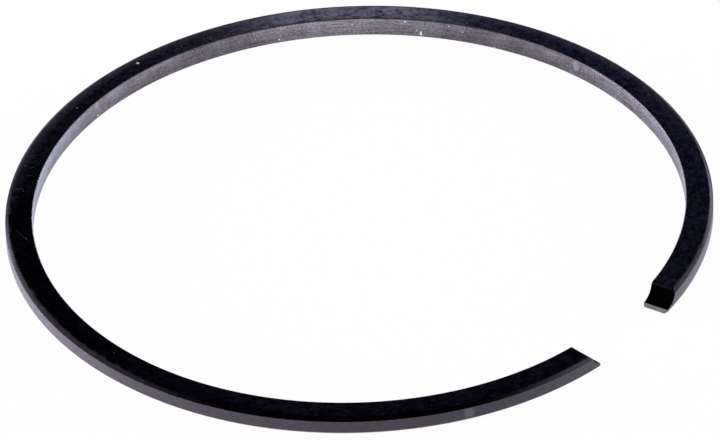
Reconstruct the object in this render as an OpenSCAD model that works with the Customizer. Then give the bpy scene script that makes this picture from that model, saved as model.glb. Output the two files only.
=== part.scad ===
// Piston ring for a small two-stroke engine, free and sprung open, lying on its lower side face.
// Millimetres, +Z up. Origin: middle of the envelope, on the lower side face. The end gap faces -Y.

/* [Cylinder and section] */
// Cylinder bore that the ring closes into
bore_d = 49; // [44:0.5:60]
// Axial height, between the two side faces
ring_h = 1.5; // [1.2:0.1:2.5]
// Radial width, from the inner face to the running face
ring_w = 2; // [1.6:0.1:3]
// Chamfer on the two edges of the running face, at 45 degrees
outer_chamfer = 0.3; // [0.1:0.05:0.4]
// Break on the two edges of the inner face, at 45 degrees
inner_break = 0.06; // [0.02:0.02:0.2]

/* [End gap] */
// Gap between the ends with the ring closed in its bore
closed_gap = 0.36; // [0.1:0.02:0.8]
// Gap between the ends with the ring free, along its mean line
free_gap = 7.8; // [5:0.1:11]

/* [Locating pin seat] */
// Radius of the round seat in each end
seat_r = 1.2; // [0.9:0.05:1.6]
// How far the seat lies off the middle of the closed gap, towards +X
seat_shift = 0.18; // [0:0.02:0.3]
// Thickness of the lip under the seat, at its thinnest
lip_t = 0.45; // [0.3:0.05:0.7]
// Break where the seat meets the upper side face, at 45 degrees
seat_break = 0.14; // [0.04:0.02:0.2]

/* [Hidden] */
$fn = 96;

iron_black = [0.1, 0.1, 0.11];

// Mean line of the closed ring: its radius and its half length
mid_r = (bore_d - ring_w) / 2;
half_len = PI * mid_r - closed_gap / 2;

// A ring that presses evenly on its bore bends most at the back and not at all at its ends.
// Each half of it takes the mean of that bending, as a share of the closed curvature.
back_share = 1 + 2 / PI;
front_share = 1 - 2 / PI;

// Radii and front sweep of the free ring at spring k, and the gap that they leave
function back_r(k) = mid_r / (1 - k * back_share);
function front_r(k) = mid_r / (1 - k * front_share);
function sweep(k) = (half_len - PI / 2 * back_r(k)) / front_r(k) * 180 / PI;
function gap(k) = 2 * (back_r(k) - front_r(k) + front_r(k) * cos(sweep(k)));

// Spring that opens the ring to the free gap, closed in on step by step
function spring(k, steps) =
    steps == 0 ? k : spring(k + (free_gap - gap(k)) / (3 * PI * mid_r), steps - 1);
k_free = spring(0, 8);

// The three tangent arcs: one at the back, and one on each side that runs to the gap
rho_back = round(back_r(k_free) * 1000) / 1000;
rho_front = round(front_r(k_free) * 1000) / 1000;
front_x = rho_back - rho_front;
front_sweep = sweep(k_free);

// Middle of the envelope, from the back of the ring to its ends
mid_y = (rho_back + ring_w / 2 - (rho_front + ring_w / 2) * sin(front_sweep)) / 2;

// Axis of the pin seat, and how far the seat reaches from it along the upper side face
seat_z = lip_t + seat_r;
seat_rise = max(seat_z - ring_h, 0);
seat_reach = sqrt(seat_r * seat_r - seat_rise * seat_rise) + seat_break;
over = 1;

// Section through one side, about the mean line
module section() {
    polygon([
        [-ring_w / 2 + inner_break, 0],
        [ring_w / 2 - outer_chamfer, 0],
        [ring_w / 2, outer_chamfer],
        [ring_w / 2, ring_h - outer_chamfer],
        [ring_w / 2 - outer_chamfer, ring_h],
        [-ring_w / 2 + inner_break, ring_h],
        [-ring_w / 2, ring_h - inner_break],
        [-ring_w / 2, inner_break]
    ]);
}

// Arc of the ring from +X, on a mean radius r
module arc(r, angle) {
    rotate_extrude(angle = angle)
        translate([r, 0])
            section();
}

// Cutter for the pin seat in one end: its axis is X, and the ring lies on its +Y side
module seat_cutter() {
    reach = ring_w + 2 * over;
    top = max(ring_h, seat_z) + over;
    translate([-reach / 2, 0, seat_z])
        rotate([0, 90, 0])
            cylinder(r = seat_r, h = reach);
    translate([-reach / 2, -over, seat_z])
        cube([reach, over + seat_r, top - seat_z]);
    translate([-reach / 2, 0, 0])
        rotate([90, 0, 90])
            linear_extrude(height = reach)
                polygon([
                    [seat_reach - 2 * seat_break, ring_h - 2 * seat_break],
                    [seat_reach, ring_h],
                    [seat_reach, top],
                    [seat_reach - 2 * seat_break, top]
                ]);
}

// Front arc on the +X side; the shift takes its pin seat away from the gap
module arm(shift) {
    translate([front_x, 0, 0])
        difference() {
            arc(rho_front, -front_sweep);
            rotate([0, 0, -front_sweep])
                translate([rho_front, shift - closed_gap / 2, 0])
                    seat_cutter();
        }
}

module ring() {
    color(iron_black)
        translate([0, -mid_y, 0])
            union() {
                arc(rho_back, 180);
                arm(seat_shift);
                mirror([1, 0, 0])
                    arm(-seat_shift);
            }
}

ring();
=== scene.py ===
"""Look of the piston ring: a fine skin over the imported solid, its materials, the studio and the camera."""

import math

import bpy
from mathutils import Matrix, Vector

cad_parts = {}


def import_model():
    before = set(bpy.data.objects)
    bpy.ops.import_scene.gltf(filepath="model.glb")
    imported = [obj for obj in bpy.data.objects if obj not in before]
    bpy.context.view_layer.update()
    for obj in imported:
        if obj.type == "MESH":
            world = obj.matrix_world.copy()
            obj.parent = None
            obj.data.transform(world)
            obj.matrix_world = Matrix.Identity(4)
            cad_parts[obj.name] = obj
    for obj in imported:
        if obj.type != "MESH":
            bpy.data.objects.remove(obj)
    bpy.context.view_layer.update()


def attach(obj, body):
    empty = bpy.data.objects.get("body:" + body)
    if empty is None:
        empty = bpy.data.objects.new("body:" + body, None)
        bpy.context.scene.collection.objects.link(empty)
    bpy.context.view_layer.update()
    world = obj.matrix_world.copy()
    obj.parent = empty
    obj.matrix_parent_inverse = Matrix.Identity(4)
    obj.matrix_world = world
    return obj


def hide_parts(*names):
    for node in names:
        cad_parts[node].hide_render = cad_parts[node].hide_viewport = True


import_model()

MM = 0.001

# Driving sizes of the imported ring, in millimetres
BORE_D = 49.0
RING_H = 1.5
RING_W = 2.0
OUTER_CHAMFER = 0.3
INNER_BREAK = 0.06
CLOSED_GAP = 0.36
FREE_GAP = 7.8
SEAT_R = 1.2
SEAT_SHIFT = 0.18
LIP_T = 0.45
SEAT_BREAK = 0.14

# Steps in which the free form closes in on the free gap
SPRING_STEPS = 9

# Rounding of the skin in millimetres: the radius round the end faces, which is also the least chamfer
# beside a pin seat, and the blends along the edges, at the outer edge of the upper side and in the seats
EDGE_R = 0.03
EDGE_BLEND = 0.02
SHOULDER_BLEND = 0.12
SEAT_BLEND = 0.05

# Share of a side of the section that the blend at one of its corners may take
BLEND_LIMIT = 0.45

# Spacing of the skin along the ring in millimetres, in the pin seats and elsewhere
SEAT_STEP = 0.02
ARC_STEP = 0.25

# Steps of the skin: over a blend, over the radius round an end face and along a side of the section
EDGE_STEPS = 4
END_STEPS = 4
SIDE_STEPS = 2

# Lapping rolls the upper side face off towards its two edges: over a width, by a drop, in millimetres
OUTER_ROLL_W = 0.38
OUTER_ROLL = 0.025
INNER_ROLL_W = 0.2
INNER_ROLL = 0.008

# Materials of the skin, in the order of its slots
COAT, CHAMFER, RUNNING, INNER, CUT, SEAT = range(6)

# Materials of the section's sides, from the lower side face round the outside to the inner face, and the
# sides that make the upper side face. The breaks along the inner face are as grey as the running face.
SIDE_MATERIALS = (COAT, CHAMFER, RUNNING, CHAMFER, COAT, COAT, COAT, RUNNING, INNER, RUNNING)
UPPER_SIDES = (4, 5, 6)

# How far down the coat of the upper side reaches, and the heights below which that side is in a pin seat
# and on the break along its edge, in millimetres
COAT_DEPTH = 0.03
SEAT_TOP = RING_H - SEAT_BREAK - OUTER_ROLL
BREAK_TOP = RING_H - OUTER_ROLL - COAT_DEPTH

# Places on the faces are millimetres on the unrolled ring: along it from its right end, across it from
# its mean line outwards, and up it from its lower side

# Stretches along the ring: where each starts, is full, starts to fade and ends
# Painted sheen along the coat's outer edge at the back
COAT_REAR_SHEEN = (18.0, 30.0, 76.0, 90.0)
# Painted light on the left of the running face and of the inner face
RUNNING_LEFT_LIGHT = (84.0, 92.0, 100.0, 113.0)
INNER_LEFT_LIGHT = (74.0, 83.0, 96.0, 106.0)

# Share of a paler tone on the left of the running face and the inner face, painted light from the left
PAINTED_LIGHT_SHARE = 0.6

# Darker and lighter stretches of the running face and the inner face, each with its shade
RUNNING_STRETCHES = (
    ((102.0, 112.0, 118.0, 126.0), 0.85),
    ((131.0, 139.0, 148.0, 150.0), 0.77),
)
INNER_STRETCHES = (
    ((26.0, 37.0, 43.0, 49.0), 0.74),
    ((45.0, 52.0, 55.0, 60.0), 1.26),
    ((57.0, 61.0, 63.0, 70.0), 0.75),
)

# Changes along the ring, and then one across it and one up it: the value before, the value after, and the
# two places between which it changes
# Painted sheen on the coat: lighter on the right, fading at the back, and at the front
COAT_RIGHT_SHEEN = (0.55, 1.0, 8.0, 30.0)
COAT_SHEEN_FADE = (0.0, 1.0, 55.0, 89.0)
COAT_FRONT_SHEEN = (0.0, 0.36, 108.0, 125.0)
# Painted highlights on the chamfers at both ends of the ring
CHAMFER_RIGHT_HIGHLIGHT = (0.35, 0.0, 4.0, 9.0)
CHAMFER_LEFT_HIGHLIGHT = (0.0, 1.0, 138.0, 145.0)
# Painted sheen across the coat, growing towards its outer edge
COAT_SHEEN_OUTWARDS = (0.0, 1.0, -0.1, 0.7)
INNER_SHADES = (0.82, 1.18, 0.45, 1.3)

# Single marks: the middle, the half sizes, and the turn in degrees if there is one. The thin scratch and
# the patch of fine ones are on the upper side, and the smudge is on the running face.
SCRATCH_PATCH = ((85.6, 0.2), (3.6, 0.9))
THIN_SCRATCH = ((92.75, -0.185), (1.3, 0.03), -29.4)
SMUDGE = ((136.5, 0.72), (0.46, 0.6))

# How deep a mark goes in millimetres, and the share of its half size from which it fades
MARK_DEPTH = 1.0
MARK_CORE = 0.5

# Fine scratches: their direction in degrees, the waves of noise per millimetre along and across them, the
# levels of it between which they show, and the share of them that shows outside their patch
SCRATCH_TURN = -38.0
SCRATCH_WAVES = (1.3, 8.0)
SCRATCH_LEVELS = (0.66, 0.76)
SCRATCH_TRACE = 0.06

# Light dots on the coat: the middle, the half size and the grey
COAT_DOTS = (
    ((68.9, 0.07), 0.15, 0.6),
    ((76.0, -0.2), 0.09, 0.16),
    ((84.0, 0.35), 0.07, 0.1),
    ((87.1, -0.1), 0.07, 0.1),
    ((93.1, -0.38), 0.07, 0.1),
)

# Colours of worn places and marks, and of painted sheen, highlights and glints, on the coat, the chamfers,
# the running face and the inner face
# Painted sheen on the coat's outer edge at the back
REAR_SHEEN_COAT = (0.042, 0.036, 0.058)
SCRATCH = (0.034, 0.034, 0.046)
BARE_LINE = (0.03, 0.03, 0.038)
COAT_SPECK = (0.1, 0.1, 0.11)
# Painted highlight on the chamfers at the ring's ends
CHAMFER_END_HIGHLIGHT = (0.027, 0.0235, 0.028)
CHAMFER_EDGE = (0.03, 0.027, 0.031)
SMUDGE_GREY = (0.165, 0.147, 0.19)
INNER_SPECK = (0.62, 0.6, 0.64)
# Painted glint: the white of small bright spots on the inner face
GLINT_WHITE = (0.95, 0.95, 0.95)
PATCH = (0.33, 0.318, 0.405)
DIM_PATCH = (0.27, 0.258, 0.325)

# Painted glints and light patches on the inner face: the middle, the half sizes and the colour
INNER_GLINTS_AND_PATCHES = (
    ((33.1, 1.0), (0.36, 0.64), DIM_PATCH),
    ((46.4, 0.33), (0.1, 0.22), GLINT_WHITE),
    ((47.6, 1.3), (0.08, 0.09), GLINT_WHITE),
    ((57.4, 0.32), (0.06, 0.08), GLINT_WHITE),
    ((74.5, 0.25), (0.08, 0.1), GLINT_WHITE),
    ((74.6, 1.2), (0.28, 0.4), PATCH),
)

# Floor: half its side in metres, its matt grey, and the share of plain white that the camera sees
FLOOR_HALF = 2.0
FLOOR_GREY = 0.92
FLOOR_WHITE = 0.975

# World: its strength near the horizon and overhead, the heights on a unit sphere between which it changes,
# its tint in the light on the ring, and the white that the camera sees
SKY_STRENGTH = (1.0, 0.01)
SKY_RISE = (0.15, 0.45)
SKY_TINT = (0.84, 0.91, 1.0, 1.0)
SKY_WHITE = (1.0, 1.0, 1.0, 1.0)

# Lamps: turn from the camera and elevation in degrees, distance, width and height in metres, power in
# watts, and colour
COOL = (0.88, 0.93, 1.0)
LAMPS = (
    ("left_light", 102, 28, 0.7, 0.8, 0.48, 2.8, COOL),
    ("right_light", -95, 30, 0.7, 0.8, 0.48, 2.8, COOL),
    ("left_strip", 106, 5, 0.7, 0.9, 0.1, 9.2, COOL),
    ("right_strip", -117, 5, 0.7, 0.9, 0.1, 6.2, (0.74, 0.86, 1.0)),
    ("back_light", 180, 23.4, 0.0626, 0.0135, 0.014, 0.0028, (0.82, 0.81, 1.0)),
)

# Camera, as the photograph was taken: degrees, metres, and millimetres of lens and sensor
CAMERA_AZIMUTH = -51.324
CAMERA_ELEVATION = 35.767
CAMERA_ROLL = -1.69
CAMERA_DISTANCE = 1.05131
CAMERA_AIM = Vector((0.000313, -0.000156, 0.0))
CAMERA_LENS = 724.58
SENSOR_WIDTH = 36.0


def free_form():
    """Radii of the back arc and the two front arcs of the free ring, and the sweep of the front arcs."""
    mid_r = (BORE_D - RING_W) / 2
    half_len = math.pi * mid_r - CLOSED_GAP / 2
    back_share = 1 + 2 / math.pi
    front_share = 1 - 2 / math.pi
    spring = 0.0
    for _ in range(SPRING_STEPS):
        back = mid_r / (1 - spring * back_share)
        front = mid_r / (1 - spring * front_share)
        sweep = (half_len - math.pi / 2 * back) / front
        gap = 2 * (back - front + front * math.cos(sweep))
        spring += (FREE_GAP - gap) / (3 * math.pi * mid_r)
    return round(back, 3), round(front, 3), sweep


def soft_min(a, b, blend):
    """The lower of two heights, with the corner between them rounded."""
    near = max(blend - abs(a - b), 0) / blend
    return min(a, b) - near * near * blend / 4


def top_height(distance):
    """Height of the upper side at a distance from the seat's axis, where the pin seat lowers it."""
    axis_z = LIP_T + SEAT_R
    reach = math.sqrt(SEAT_R**2 - (axis_z - RING_H) ** 2) + SEAT_BREAK
    height = RING_H
    if distance > reach + SEAT_BLEND:
        return height
    if distance > reach - 2 * SEAT_BREAK:
        height = soft_min(height, RING_H - reach + distance, SEAT_BLEND)
    if abs(distance) < SEAT_R:
        height = soft_min(height, axis_z - math.sqrt(SEAT_R**2 - distance**2), SEAT_BLEND)
    return height


def corners(rho, from_end, shift):
    """Corners of the section on mean radius rho, at an angle from the end, with the pin seat shifted.

    Each is (radial offset, height, length of its blend), and the side after it has a material."""
    half = RING_W / 2
    seat_at = shift - CLOSED_GAP / 2
    across = math.sin(min(from_end, math.pi / 2))

    def top(u):
        return top_height((rho + u) * across - seat_at)

    def lapped(u):
        return max(top(u) - SEAT_TOP, 0) / (RING_H - SEAT_TOP)

    outer = half - max(top(half) - (RING_H - OUTER_CHAMFER), EDGE_R)
    inner = -half + max(top(-half) - (RING_H - INNER_BREAK), EDGE_R)
    inner_roll = INNER_ROLL * lapped(inner)
    return [
        (-half + INNER_BREAK, 0, EDGE_BLEND),
        (half - OUTER_CHAMFER, 0, EDGE_BLEND),
        (half, OUTER_CHAMFER, EDGE_BLEND),
        (half, min(RING_H - OUTER_CHAMFER, top(half) - EDGE_R), EDGE_BLEND),
        (outer, top(outer) - OUTER_ROLL * lapped(outer), SHOULDER_BLEND),
        (outer - OUTER_ROLL_W, top(outer - OUTER_ROLL_W), OUTER_ROLL_W),
        (inner + INNER_ROLL_W, top(inner + INNER_ROLL_W), INNER_ROLL_W),
        (inner, top(inner) - inner_roll, EDGE_BLEND),
        (-half, min(RING_H - INNER_BREAK, top(-half) - EDGE_R) - inner_roll, EDGE_BLEND),
        (-half, INNER_BREAK, EDGE_BLEND),
    ]


def outline_at(rho, from_end, shift):
    """Points round the section, in the same order all along the ring: (u, z, edge, side).

    The long blends of the two roll-offs don't count as edges."""
    points = corners(rho, from_end, shift)
    count = len(points)
    places = [Vector(point[:2]) for point in points]
    lengths = [(places[(i + 1) % count] - places[i]).length for i in range(count)]
    shares = [step / EDGE_STEPS for step in range(EDGE_STEPS + 1)]
    blends = []
    for i, (_, _, blend) in enumerate(points):
        here = places[i]
        reach = min(blend, BLEND_LIMIT * lengths[i - 1], BLEND_LIMIT * lengths[i])
        first = here.lerp(places[i - 1], reach / lengths[i - 1])
        last = here.lerp(places[(i + 1) % count], reach / lengths[i])
        blends.append([first.lerp(here, t).lerp(here.lerp(last, t), t) for t in shares])
    outline = []
    for i in range(count):
        edge = 1.0 if points[i][2] < INNER_ROLL_W else 0.0
        for step, place in enumerate(blends[i][:-1]):
            side = i if step >= EDGE_STEPS // 2 else (i - 1) % count
            outline.append((*place, edge, side))
        first, last = blends[i][-1], blends[(i + 1) % count][0]
        outline.append((*first, edge, i))
        outline += [(*first.lerp(last, step / SIDE_STEPS), 0.0, i) for step in range(1, SIDE_STEPS)]
    return outline


def inset_outline(outline, inset):
    """The outline moved inwards, for the small radius round each end face."""
    if not inset:
        return outline
    count = len(outline)
    moved = []
    for i, (u, z, _, side) in enumerate(outline):
        before, after = outline[i - 1], outline[(i + 1) % count]
        along = Vector((after[0] - before[0], after[1] - before[1])).normalized()
        moved.append((u - along.y * inset, z + along.x * inset, 1.0, side))
    return moved


def arm_places(length):
    """Places along a front arc of a length, from its end to the back arc: (distance, inset)."""
    places = []
    for step in range(END_STEPS + 1):
        lean = math.pi / 2 * step / END_STEPS
        places.append((EDGE_R * (1 - math.cos(lean)), EDGE_R * (1 - math.sin(lean))))
    seat_end = SEAT_R + SEAT_BREAK + 2 * SEAT_BLEND
    steps = round((seat_end - EDGE_R) / SEAT_STEP)
    places += [(EDGE_R + SEAT_STEP * (i + 1), 0.0) for i in range(steps)]
    start = places[-1][0]
    steps = round((length - start) / ARC_STEP)
    return places + [(start + (length - start) * (i + 1) / steps, 0.0) for i in range(steps)]


def stations(back, front, sweep):
    """Places along the mean line, from the right end round the back to the left end.

    Each is (centre x, mean radius, angle, angle from the nearer end, shift of the pin seat, inset)."""
    arm = arm_places(front * sweep)
    offset = back - front
    right = [
        (offset, front, along / front - sweep, along / front, SEAT_SHIFT, inset)
        for along, inset in arm
    ]
    steps = round(math.pi * back / ARC_STEP)
    rear = [(0.0, back, math.pi * (i + 1) / steps, math.pi / 2, 0.0, 0.0) for i in range(steps - 1)]
    left = [
        (-offset, front, math.pi + sweep - along / front, along / front, -SEAT_SHIFT, inset)
        for along, inset in reversed(arm)
    ]
    return right + rear + left


def swept_points():
    """Points of the skin, its outlines as ranges of them, and the side of the section after each point.

    Each point is (place in metres, place on the unrolled ring, share of an edge)."""
    back, front, sweep = free_form()
    envelope_y = (back + RING_W / 2 - (front + RING_W / 2) * math.sin(sweep)) / 2
    points, rings, sides = [], [], []
    travelled, last_middle = 0.0, None
    for centre_x, rho, angle, from_end, shift, inset in stations(back, front, sweep):
        across = Vector((math.cos(angle), math.sin(angle)))
        middle = Vector((centre_x, -envelope_y)) + across * rho
        travelled += (middle - last_middle).length if last_middle else 0.0
        last_middle = middle
        outline = inset_outline(outline_at(rho, from_end, shift), inset)
        rings.append(range(len(points), len(points) + len(outline)))
        sides = [side for _, _, _, side in outline]
        for u, z, edge, _ in outline:
            at = middle + across * u
            points.append(((at.x * MM, at.y * MM, z * MM), (travelled, u, z), edge))
    return points, rings, sides


def upper_material(height):
    """Material of the upper side at a height in metres: the coat, the break of a pin seat or the seat."""
    if height < SEAT_TOP * MM:
        return SEAT
    return CHAMFER if height < BREAK_TOP * MM else COAT


def skin_faces(places, rings, sides):
    """Faces of the skin with their materials: bands from outline to outline, and then the two end faces."""
    count = len(sides)
    faces, materials = [], []
    for here, following in zip(rings, rings[1:]):
        for i, side in enumerate(sides):
            j = (i + 1) % count
            faces.append((here[i], here[j], following[j], following[i]))
            upper = side in UPPER_SIDES
            materials.append(upper_material(places[here[i]][2]) if upper else SIDE_MATERIALS[side])
    faces += [tuple(reversed(rings[0])), tuple(rings[-1])]
    materials += [CUT, CUT]
    return faces, materials


def ring_skin():
    """The ring as one closed mesh, swept along its three arcs, with a flat face on each end."""
    points, rings, sides = swept_points()
    places, unrolled, edges = zip(*points)
    faces, materials = skin_faces(places, rings, sides)
    mesh = bpy.data.meshes.new("ring_skin")
    mesh.from_pydata(places, [], faces)
    mesh.polygons.foreach_set("material_index", materials)
    mesh.polygons.foreach_set("use_smooth", [material != CUT for material in materials])
    place = mesh.attributes.new("unrolled", "FLOAT_VECTOR", "POINT")
    place.data.foreach_set("vector", [x for p in unrolled for x in p])
    edge = mesh.attributes.new("edge", "FLOAT", "POINT")
    edge.data.foreach_set("value", edges)
    mesh.update()
    mesh.validate()
    skin = bpy.data.objects.new("ring_skin", mesh)
    bpy.context.scene.collection.objects.link(skin)
    return skin


class Pattern:
    """A material under construction, with patterns laid out along the unrolled ring in millimetres."""

    def __init__(self, name):
        self.material = bpy.data.materials.new(name)
        self.material.use_nodes = True
        self.tree = self.material.node_tree
        self.shader = self.tree.nodes["Principled BSDF"]

    def node(self, kind, **settings):
        """A new node of a kind, with its settings."""
        made = self.tree.nodes.new(kind)
        for key, value in settings.items():
            setattr(made, key, value)
        return made

    def link(self, output, target):
        """Joins an output to the input that takes it."""
        self.tree.links.new(output, target)

    def feed(self, name, output):
        """Joins an output to one of the shader's inputs."""
        self.link(output, self.shader.inputs[name])

    def set(self, name, value):
        """Sets one of the shader's inputs to a value that is the same all over."""
        self.shader.inputs[name].default_value = value

    def split(self, vector):
        """The X, Y and Z of a vector or a colour."""
        made = self.node("ShaderNodeSeparateXYZ")
        self.link(vector, made.inputs[0])
        return made.outputs

    def unrolled(self):
        """Place on the unrolled ring: along it, across it and up it, in millimetres."""
        return self.node("ShaderNodeAttribute", attribute_name="unrolled").outputs["Vector"]

    def along(self):
        """Millimetres along the ring from its right end."""
        return self.split(self.unrolled())["X"]

    def across(self):
        """Millimetres across the ring from its mean line, outwards."""
        return self.split(self.unrolled())["Y"]

    def up(self):
        """Millimetres up the ring from its lower side."""
        return self.split(self.unrolled())["Z"]

    def edge(self):
        """Share of an edge: 1 on the blend along it and 0 on the faces."""
        return self.node("ShaderNodeAttribute", attribute_name="edge").outputs["Fac"]

    def spread(self, value, low, high, start=0.3, end=0.7):
        """Takes a pattern from the range start to end to the range low to high."""
        made = self.node("ShaderNodeMapRange")
        for key, number in (("From Min", start), ("From Max", end), ("To Min", low), ("To Max", high)):
            made.inputs[key].default_value = number
        self.link(value, made.inputs["Value"])
        return made.outputs["Result"]

    def combine(self, operation, first, second):
        """Two values, each an output or a number, under one operation."""
        made = self.node("ShaderNodeMath", operation=operation)
        for socket, value in zip(made.inputs, (first, second)):
            if isinstance(value, (int, float)):
                socket.default_value = value
            else:
                self.link(value, socket)
        return made.outputs["Value"]

    def stretch(self, start, full, last, end):
        """Share of one stretch of the ring: it grows from start to full and fades from last to end."""
        grown = self.spread(self.along(), 0.0, 1.0, start, full)
        faded = self.spread(self.along(), 0.0, 1.0, last, end)
        return self.combine("SUBTRACT", grown, faded)

    def stretch_shade(self, rows):
        """Shade along the ring, from rows of a stretch and its shade."""
        shade = 1.0
        for places, full_shade in rows:
            change = self.spread(self.stretch(*places), 1.0, full_shade, 0.0, 1.0)
            shade = self.combine("MULTIPLY", shade, change)
        return shade

    def mapped(self, kind, place, scale, location=(0.0, 0.0, 0.0), turn=0.0):
        """A place through a mapping of a kind, with a scale, a location and a turn in degrees."""
        made = self.node("ShaderNodeMapping", vector_type=kind)
        made.inputs["Location"].default_value = location
        made.inputs["Rotation"].default_value = (0.0, 0.0, math.radians(turn))
        made.inputs["Scale"].default_value = scale
        self.link(place, made.inputs["Vector"])
        return made.outputs["Vector"]

    def noise_at(self, place, detail, roughness=0.5):
        """Noise with one wave per unit of a place."""
        made = self.node("ShaderNodeTexNoise")
        for key, number in (("Scale", 1.0), ("Detail", detail), ("Roughness", roughness)):
            made.inputs[key].default_value = number
        self.link(place, made.inputs["Vector"])
        return made.outputs["Fac"]

    def noise(self, scale, detail=3.0, roughness=0.55, offset=0.0):
        """Noise with its own scale along the ring, across it and up it, in waves per millimetre."""
        place = self.mapped("POINT", self.unrolled(), scale, location=(offset, offset, offset))
        return self.noise_at(place, detail, roughness)

    def scratches(self, turn, along, across):
        """Share of fine straight scratches in one direction, from waves per millimetre each way."""
        place = self.node("ShaderNodeTexCoord").outputs["Object"]
        turned = self.mapped("TEXTURE", place, (MM / along, MM / across, MM), turn=turn)
        return self.spread(self.noise_at(turned, detail=0.0), 0.0, 1.0, *SCRATCH_LEVELS)

    def mark(self, middle, half_size, turn=0.0):
        """Share of one mark on the unrolled ring: its middle, its half sizes and its turn in degrees."""
        length = self.node("ShaderNodeVectorMath", operation="LENGTH")
        self.link(self.mapped("TEXTURE", self.unrolled(), half_size, middle, turn), length.inputs[0])
        return self.spread(length.outputs["Value"], 1.0, 0.0, MARK_CORE, 1.0)

    def top_mark(self, middle, half_size, turn=0.0):
        """Share of one mark on the upper side, by places along and across the ring."""
        return self.mark((*middle, RING_H), (*half_size, MARK_DEPTH), turn)

    def side_mark(self, across, middle, half_size):
        """Share of one mark on the inner face or the running face, by places along and up the ring."""
        (along, up), (half_length, half_height) = middle, half_size
        return self.mark((along, across, up), (half_length, MARK_DEPTH, half_height))

    def specks(self, scale, size, rarity):
        """Share of small round specks.

        It takes cells per millimetre, the size as a share of a cell, and the share of cells without one."""
        cells = self.node("ShaderNodeTexVoronoi")
        cells.inputs["Scale"].default_value = 1.0
        self.link(self.mapped("POINT", self.unrolled(), (scale, scale, scale)), cells.inputs["Vector"])
        near = self.combine("LESS_THAN", cells.outputs["Distance"], size)
        chosen = self.combine("GREATER_THAN", self.split(cells.outputs["Color"])["X"], rarity)
        return self.combine("MULTIPLY", near, chosen)

    def edge_wear(self):
        """Share of worn places along the edges."""
        places = self.noise((1.4, 3.0, 3.0), offset=41.0)
        near = self.spread(self.edge(), 0.0, 1.0, 0.8, 1.0)
        return self.combine("MULTIPLY", near, self.spread(places, 0.0, 0.5, 0.5, 0.68))

    def colours(self, value, *stops):
        """A ramp between two (position, colour) stops."""
        ramp = self.node("ShaderNodeValToRGB")
        for element, (position, colour) in zip(ramp.color_ramp.elements, stops):
            element.position = position
            element.color = (*colour, 1.0)
        self.link(value, ramp.inputs["Fac"])
        return ramp.outputs["Color"]

    def mix(self, share, first, second):
        """A share of the second colour over the first, each an output or a colour."""
        made = self.node("ShaderNodeMix", data_type="RGBA")
        self.link(share, made.inputs["Factor"])
        for name, colour in (("A", first), ("B", second)):
            if isinstance(colour, tuple):
                made.inputs[name].default_value = (*colour, 1.0)
            else:
                self.link(colour, made.inputs[name])
        return made.outputs["Result"]

    def shaded(self, colour, shade):
        """A colour made darker or lighter by a shade."""
        made = self.node("ShaderNodeVectorMath", operation="SCALE")
        self.link(colour, made.inputs[0])
        self.link(shade, made.inputs["Scale"])
        return made.outputs["Vector"]

    def bump(self, height, depth_mm):
        """Raises the surface by a pattern, to a depth in millimetres."""
        made = self.node("ShaderNodeBump")
        made.inputs["Strength"].default_value = 1.0
        made.inputs["Distance"].default_value = depth_mm * MM
        self.link(height, made.inputs["Height"])
        self.feed("Normal", made.outputs["Normal"])


def coat_material():
    """Black coat on the lapped side faces.

    It is mottled, with painted sheen that lightens it on the right and at the front, and painted sheen
    along its outer edge at the back, with a few scratches, dots and specks."""
    made = Pattern("black_coat")
    grain = made.noise((5.0, 5.0, 5.0), offset=11.0)
    mottle = made.noise((1.8, 2.4, 2.4), detail=4.0, roughness=0.65)
    patchy = made.combine("ADD", made.spread(grain, 0.0, 0.5), made.spread(mottle, 0.0, 0.5))

    black = made.colours(patchy, (0.3, (0.0001, 0.0001, 0.0004)), (0.75, (0.001, 0.0009, 0.003)))
    sheen_black = made.colours(patchy, (0.3, (0.0012, 0.001, 0.005)), (0.75, (0.0125, 0.011, 0.0325)))
    # Painted sheen: the lighter coat on the right and at the front
    along = made.along()
    right = made.combine("SUBTRACT", made.spread(along, *COAT_RIGHT_SHEEN), made.spread(along, *COAT_SHEEN_FADE))
    painted_sheen = made.combine("ADD", right, made.spread(along, *COAT_FRONT_SHEEN))
    tone = made.mix(painted_sheen, black, sheen_black)

    # Painted sheen along the outer edge of the coat at the back
    outer = made.combine("MULTIPLY", made.spread(made.across(), *COAT_SHEEN_OUTWARDS), made.stretch(*COAT_REAR_SHEEN))
    rear_edge_sheen = made.combine("MULTIPLY", outer, made.spread(patchy, 0.6, 1.0))
    tone = made.mix(rear_edge_sheen, tone, REAR_SHEEN_COAT)

    patch = made.combine("ADD", made.top_mark(*SCRATCH_PATCH), SCRATCH_TRACE)
    scratched = made.combine("MULTIPLY", made.scratches(SCRATCH_TURN, *SCRATCH_WAVES), patch)
    tone = made.mix(scratched, tone, SCRATCH)
    tone = made.mix(made.top_mark(*THIN_SCRATCH), tone, BARE_LINE)
    for middle, half_size, grey in COAT_DOTS:
        tone = made.mix(made.top_mark(middle, (half_size, half_size)), tone, (grey, grey, grey))
    tone = made.mix(made.specks(scale=1.4, size=0.07, rarity=0.72), tone, COAT_SPECK)
    tone = made.mix(made.edge_wear(), tone, BARE_LINE)
    made.feed("Base Color", tone)

    clouds = made.noise((1.6, 2.3, 2.3), detail=5.0, roughness=0.68, offset=31.0)
    cloudy = made.spread(clouds, 0.012, 0.26, 0.37, 0.63)
    gloss = made.combine("MULTIPLY", cloudy, made.spread(right, 0.18, 1.0, 0.0, 0.4))
    gloss = made.combine("MULTIPLY", gloss, made.spread(made.edge(), 1.0, 0.15, 0.0, 1.0))
    made.feed("Specular IOR Level", gloss)
    made.set("Specular Tint", (0.78, 0.76, 1.0, 1.0))
    dull = made.combine("ADD", made.spread(mottle, 0.19, 0.27), made.spread(grain, -0.03, 0.06))
    made.feed("Roughness", dull)
    made.bump(grain, depth_mm=0.001)
    return made.material


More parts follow.
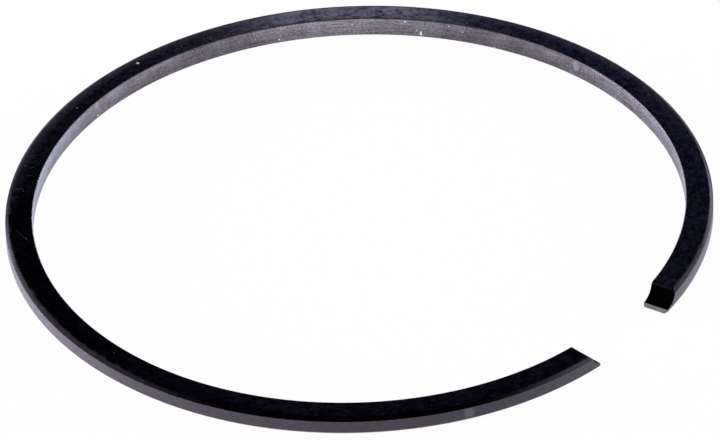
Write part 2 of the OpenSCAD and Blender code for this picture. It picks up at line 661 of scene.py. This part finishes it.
def chamfer_material():
    """The coat on the chamfers, duller, a little brown, and with a painted highlight at both ends of the
    ring.
    """
    made = Pattern("chamfer_black")
    grain = made.noise((3.0, 9.0, 9.0), offset=4.0)
    tone = made.colours(grain, (0.4, (0.009, 0.0079, 0.0094)), (0.65, (0.0136, 0.0121, 0.0141)))
    along = made.along()
    # Painted highlights at both ends of the ring
    right_highlight = made.spread(along, *CHAMFER_RIGHT_HIGHLIGHT)
    left_highlight = made.spread(along, *CHAMFER_LEFT_HIGHLIGHT)
    tone = made.mix(made.combine("ADD", right_highlight, left_highlight), tone, CHAMFER_END_HIGHLIGHT)
    tone = made.mix(made.edge_wear(), tone, CHAMFER_EDGE)
    made.feed("Base Color", tone)
    made.set("Metallic", 1.0)
    made.set("Specular Tint", (0.58, 0.57, 0.59, 1.0))
    made.feed("Roughness", made.spread(grain, 0.22, 0.34))
    made.bump(grain, depth_mm=0.0005)
    return made.material


def running_material():
    """Dark grey running face, honed along the ring, paler on the left with painted light, with a smudge near
    the left end.
    """
    made = Pattern("running_face")
    grain = made.noise((2.5, 14.0, 14.0), detail=4.0)
    lines = made.noise((0.25, 16.0, 16.0), offset=3.0)
    grey = made.colours(grain, (0.35, (0.075, 0.06, 0.077)), (0.65, (0.132, 0.106, 0.136)))
    painted_light_tone = made.colours(grain, (0.35, (0.135, 0.115, 0.148)), (0.65, (0.235, 0.2, 0.26)))
    # Painted light on the left of the running face
    left = made.combine("MULTIPLY", made.stretch(*RUNNING_LEFT_LIGHT), PAINTED_LIGHT_SHARE)
    tone = made.shaded(made.mix(left, grey, painted_light_tone), made.stretch_shade(RUNNING_STRETCHES))
    tone = made.mix(made.side_mark(RING_W / 2, *SMUDGE), tone, SMUDGE_GREY)
    made.feed("Base Color", tone)
    made.set("Metallic", 0.1)
    made.set("Specular IOR Level", 0.25)
    made.feed("Roughness", made.spread(lines, 0.36, 0.52))
    made.bump(lines, depth_mm=0.003)
    return made.material


def inner_material():
    """Bare turned iron on the inner face.

    It is brown-grey with fine lines round the ring and upright smears, paler on the left with painted light,
    and paler towards its upper edge, with a few painted glints, patches and specks."""
    made = Pattern("turned_iron")
    lines = made.noise((0.35, 14.0, 14.0))
    grain = made.noise((6.0, 7.0, 7.0), offset=7.0)
    smears = made.noise((0.95, 0.5, 0.5), offset=15.0)
    fine = made.combine("ADD", made.spread(lines, 0.0, 0.5), made.spread(grain, 0.0, 0.5))
    brown = made.colours(fine, (0.28, (0.095, 0.0755, 0.091)), (0.72, (0.275, 0.239, 0.292)))
    light = made.colours(fine, (0.28, (0.15, 0.138, 0.178)), (0.72, (0.35, 0.33, 0.415)))
    painted_light_tone = made.colours(fine, (0.28, (0.24, 0.228, 0.285)), (0.72, (0.5, 0.48, 0.6)))
    tone = made.mix(made.spread(smears, 0.0, 0.75, 0.43, 0.64), brown, light)
    # Painted light on the left of the inner face
    left = made.combine("MULTIPLY", made.stretch(*INNER_LEFT_LIGHT), PAINTED_LIGHT_SHARE)
    tone = made.mix(left, tone, painted_light_tone)
    upwards = made.spread(made.up(), *INNER_SHADES)
    tone = made.shaded(tone, made.combine("MULTIPLY", upwards, made.stretch_shade(INNER_STRETCHES)))
    tone = made.mix(made.specks(scale=1.6, size=0.09, rarity=0.7), tone, INNER_SPECK)
    # Painted glints and light patches on the inner face
    for middle, half_size, colour in INNER_GLINTS_AND_PATCHES:
        tone = made.mix(made.side_mark(-RING_W / 2, middle, half_size), tone, colour)
    made.feed("Base Color", tone)
    made.set("Metallic", 1.0)
    made.set("Specular Tint", (0.86, 0.9, 1.0, 1.0))
    made.feed("Roughness", made.spread(lines, 0.34, 0.5))
    made.bump(fine, depth_mm=0.004)
    return made.material


def cut_material():
    """Ground faces at the two ends."""
    made = Pattern("ground_end")
    grain = made.noise((6.0, 2.0, 22.0), offset=5.0)
    tone = made.colours(grain, (0.35, (0.145, 0.122, 0.14)), (0.65, (0.24, 0.208, 0.236)))
    made.feed("Base Color", tone)
    made.set("Metallic", 1.0)
    made.feed("Roughness", made.spread(grain, 0.34, 0.5))
    made.bump(grain, depth_mm=0.003)
    return made.material


def seat_material():
    """Matt black in the pin seats, which no lapping reaches."""
    made = Pattern("seat_black")
    grain = made.noise((9.0, 9.0, 9.0), offset=2.0)
    tone = made.colours(grain, (0.3, (0.0002, 0.0002, 0.0004)), (0.7, (0.0008, 0.0007, 0.0013)))
    made.feed("Base Color", tone)
    made.set("Specular IOR Level", 0.005)
    made.feed("Roughness", made.spread(grain, 0.5, 0.7))
    made.bump(grain, depth_mm=0.002)
    return made.material


def larger(tree, first, second):
    """The larger of two outputs in a node tree."""
    made = tree.nodes.new("ShaderNodeMath")
    made.operation = "MAXIMUM"
    tree.links.new(first, made.inputs[0])
    tree.links.new(second, made.inputs[1])
    return made.outputs[0]


def floor_material():
    """Matt white, which the camera and reflections see as plain white with a soft share of shadow."""
    material = bpy.data.materials.new("floor_white")
    material.use_nodes = True
    tree = material.node_tree
    tree.nodes.clear()
    path = tree.nodes.new("ShaderNodeLightPath").outputs
    share = tree.nodes.new("ShaderNodeMath")
    share.operation = "MULTIPLY"
    share.inputs[1].default_value = FLOOR_WHITE
    tree.links.new(larger(tree, path["Is Camera Ray"], path["Is Glossy Ray"]), share.inputs[0])
    matt = tree.nodes.new("ShaderNodeBsdfDiffuse")
    matt.inputs["Color"].default_value = (FLOOR_GREY, FLOOR_GREY, FLOOR_GREY, 1.0)
    white = tree.nodes.new("ShaderNodeEmission")
    mixed = tree.nodes.new("ShaderNodeMixShader")
    for socket, maker in zip(mixed.inputs, (share, matt, white)):
        tree.links.new(maker.outputs[0], socket)
    output = tree.nodes.new("ShaderNodeOutputMaterial")
    tree.links.new(mixed.outputs[0], output.inputs["Surface"])
    return material


def floor():
    """A plain white floor under the ring."""
    signs = ((-1, -1), (1, -1), (1, 1), (-1, 1))
    mesh = bpy.data.meshes.new("floor")
    mesh.from_pydata([(x * FLOOR_HALF, y * FLOOR_HALF, 0) for x, y in signs], [], [(0, 1, 2, 3)])
    mesh.materials.append(floor_material())
    made = bpy.data.objects.new("floor", mesh)
    bpy.context.scene.collection.objects.link(made)


def world():
    """White to the camera and near the horizon, and dark overhead."""
    made = bpy.data.worlds.new("studio")
    made.use_nodes = True
    bpy.context.scene.world = made
    tree = made.node_tree
    background = tree.nodes["Background"]
    seen = tree.nodes.new("ShaderNodeLightPath").outputs["Is Camera Ray"]

    place = tree.nodes.new("ShaderNodeTexCoord")
    split = tree.nodes.new("ShaderNodeSeparateXYZ")
    tree.links.new(place.outputs["Generated"], split.inputs[0])
    fade = tree.nodes.new("ShaderNodeMapRange")
    fade.interpolation_type = "SMOOTHSTEP"
    fade.inputs["From Min"].default_value, fade.inputs["From Max"].default_value = SKY_RISE
    fade.inputs["To Min"].default_value, fade.inputs["To Max"].default_value = SKY_STRENGTH
    tree.links.new(split.outputs["Z"], fade.inputs["Value"])
    tree.links.new(larger(tree, fade.outputs["Result"], seen), background.inputs["Strength"])

    tint = tree.nodes.new("ShaderNodeMix")
    tint.data_type = "RGBA"
    tint.inputs["A"].default_value = SKY_TINT
    tint.inputs["B"].default_value = SKY_WHITE
    tree.links.new(seen, tint.inputs["Factor"])
    tree.links.new(tint.outputs["Result"], background.inputs["Color"])


def direction(turn, elevation):
    """Unit vector from the object, turned clockwise from the camera's side and raised, in degrees."""
    azimuth = math.radians(CAMERA_AZIMUTH - turn)
    rise = math.radians(elevation)
    return Vector((
        math.sin(azimuth) * math.cos(rise),
        -math.cos(azimuth) * math.cos(rise),
        math.sin(rise),
    ))


def softbox(name, turn, elevation, distance, width, height, power, colour):
    """An area lamp that faces the ring."""
    data = bpy.data.lights.new(name, "AREA")
    data.shape = "RECTANGLE"
    data.size = width
    data.size_y = height
    data.energy = power
    data.color = colour
    made = bpy.data.objects.new(name, data)
    towards = direction(turn, elevation)
    made.location = towards * distance
    made.rotation_mode = "QUATERNION"
    made.rotation_quaternion = (-towards).to_track_quat("-Z", "Y")
    made.visible_camera = False
    bpy.context.scene.collection.objects.link(made)


def camera():
    """The camera at the photograph's place, level apart from a small roll."""
    data = bpy.data.cameras.new("camera")
    data.sensor_fit = "HORIZONTAL"
    data.sensor_width = SENSOR_WIDTH
    data.lens = CAMERA_LENS
    made = bpy.data.objects.new("camera", data)
    back = direction(0, CAMERA_ELEVATION)
    roll = Matrix.Rotation(math.radians(CAMERA_ROLL), 4, "Z")
    level = (-back).to_track_quat("-Z", "Y").to_matrix().to_4x4()
    made.matrix_world = Matrix.Translation(CAMERA_AIM + back * CAMERA_DISTANCE) @ level @ roll
    bpy.context.scene.collection.objects.link(made)
    bpy.context.scene.camera = made


skin = ring_skin()
makers = (
    coat_material, chamfer_material, running_material, inner_material, cut_material, seat_material,
)
for make in makers:
    skin.data.materials.append(make())
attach(skin, "root")
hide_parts("ring")

floor()
world()
for lamp in LAMPS:
    softbox(*lamp)
camera()
bpy.context.scene.view_settings.view_transform = "Standard"
